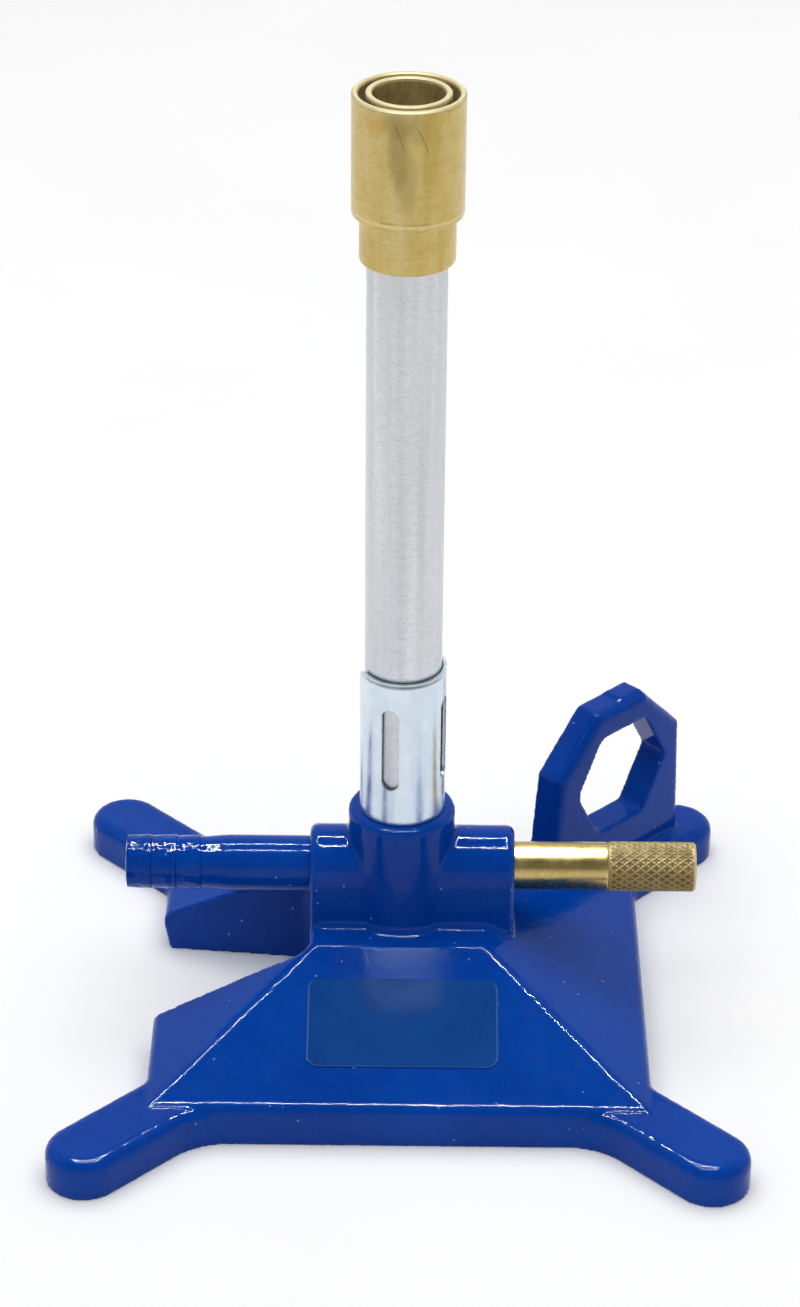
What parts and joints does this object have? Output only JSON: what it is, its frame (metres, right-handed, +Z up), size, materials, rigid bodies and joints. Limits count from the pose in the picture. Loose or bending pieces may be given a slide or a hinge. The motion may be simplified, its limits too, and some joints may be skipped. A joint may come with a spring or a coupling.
{
  "type": "bunsen burner",
  "caption": "Laboratory bunsen burner with cast cross-foot base, faceted handle ring, hose barb, needle valve, rotary air sleeve and brass flame stabiliser.",
  "frame": {"origin": "on the table plane, under the burner tube's axis, at the middle of the four feet", "axes": "+Z up along the burner tube, -Y towards the front panel, +X along the needle valve, -X along the hose barb"},
  "size_m": [0.1164, 0.1142, 0.1712],
  "materials": {
    "blue_enamel": "gloss enamel on a zinc or iron casting",
    "label": "gloss film",
    "brass": "satin turned",
    "fibre": "matt",
    "aluminium": "fine brushed",
    "zinc_plate": "bright zinc plate",
    "steel": "ground",
    "rubber": "matt"
  },
  "bodies": {
    "base": {"base_casting": "blue_enamel", "label_plate": "label", "hose_barb": "blue_enamel", "gas_jet": "brass", "jet_washer": "fibre", "burner_tube": "aluminium", "stabilizer_body": "brass", "stabilizer_ring": "brass"},
    "sleeve": {"air_sleeve": "zinc_plate"},
    "seals": {"valve_orings": "rubber"},
    "spindle": {"valve_spindle": "brass", "valve_needle": "steel"}
  },
  "joints": [
    {"name": "air_sleeve_turn", "type": "hinge", "parent": "base", "child": "sleeve", "pos_m": [0, 0, 0.055], "axis": [0, 0, 1], "continuous": true},
    {"name": "valve_travel", "type": "slide", "parent": "base", "child": "seals", "axis": [1, 0, 0], "range_m": [0, 0.0032]},
    {"name": "valve_turn", "type": "hinge", "parent": "seals", "child": "spindle", "pos_m": [0.04, 0, 0.0293], "axis": [1, 0, 0], "range_deg": [0, 1440]}
  ],
  "couplings": [
    {"joint": "valve_turn", "follows": "valve_travel", "rad_per_m": 7854}
  ]
}
